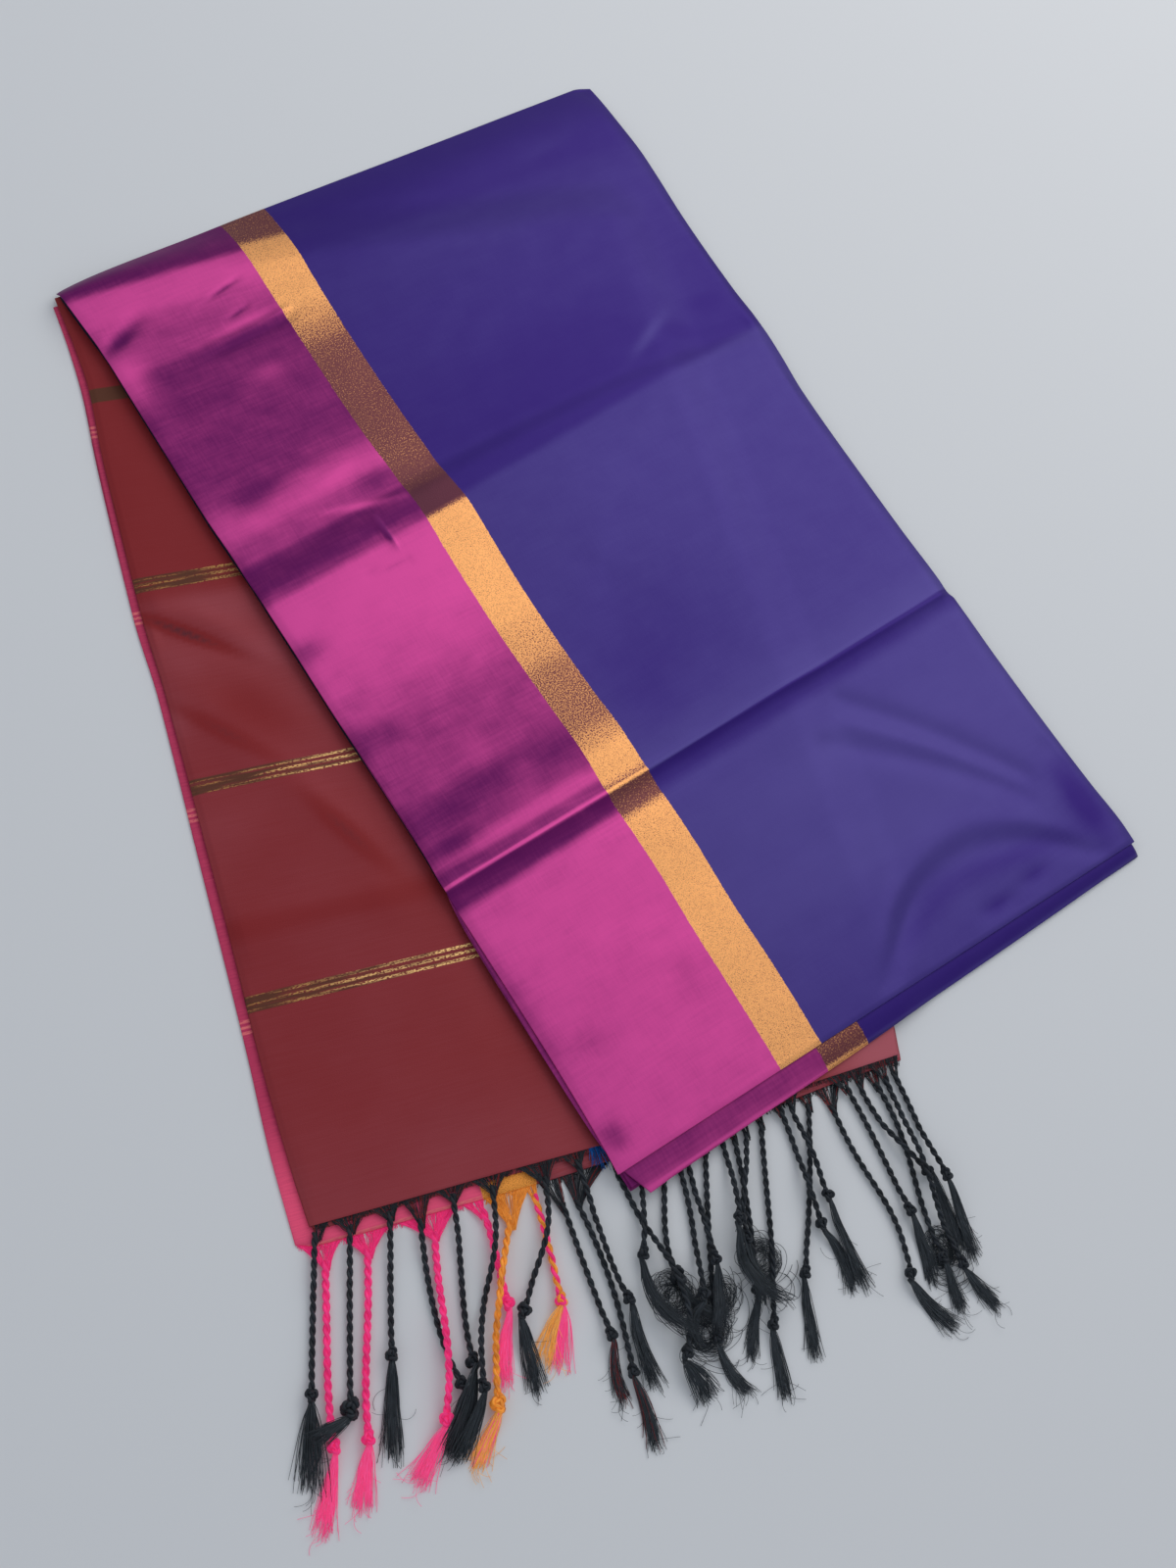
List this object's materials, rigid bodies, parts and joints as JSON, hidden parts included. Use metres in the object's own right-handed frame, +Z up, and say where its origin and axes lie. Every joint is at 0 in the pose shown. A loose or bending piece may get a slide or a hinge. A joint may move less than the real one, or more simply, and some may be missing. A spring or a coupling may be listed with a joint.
{
  "type": "folded saree",
  "caption": "Folded saree: a flat cloth bundle turned across its laid-out end piece, with contrast border, zari stripe and a fringe of twisted, knotted cords.",
  "frame": {"origin": "the middle of the base, on the surface it lies on", "axes": "+X to the right across the laid-out end piece, +Y along it away from the fringe, +Z up"},
  "size_m": [0.5546, 0.8024, 0.014],
  "materials": {
    "body_silk": "satin weave, purple with a magenta border and a copper zari stripe",
    "pallu_silk": "satin weave, maroon with gold weft lines",
    "border_silk": "satin weave, pink",
    "pink_yarn": "twisted silk warp",
    "orange_yarn": "twisted silk warp",
    "dark_yarn": "twisted silk warp",
    "blue_yarn": "loose silk warp"
  },
  "bodies": {
    "root": {"pallu_border_ply": "border_silk", "pallu_middle_ply": "pallu_silk", "pallu_top_ply": "pallu_silk", "body_hidden_folds": "body_silk", "body_second_fold": "body_silk", "body_top_fold": "body_silk", "fringe_lower_pink": "pink_yarn", "fringe_lower_orange": "orange_yarn", "fringe_lower_dark": "dark_yarn", "fringe_middle": "dark_yarn", "fringe_upper_left": "dark_yarn", "fringe_upper_right": "dark_yarn", "fringe_blue_threads": "blue_yarn"}
  },
  "joints": []
}
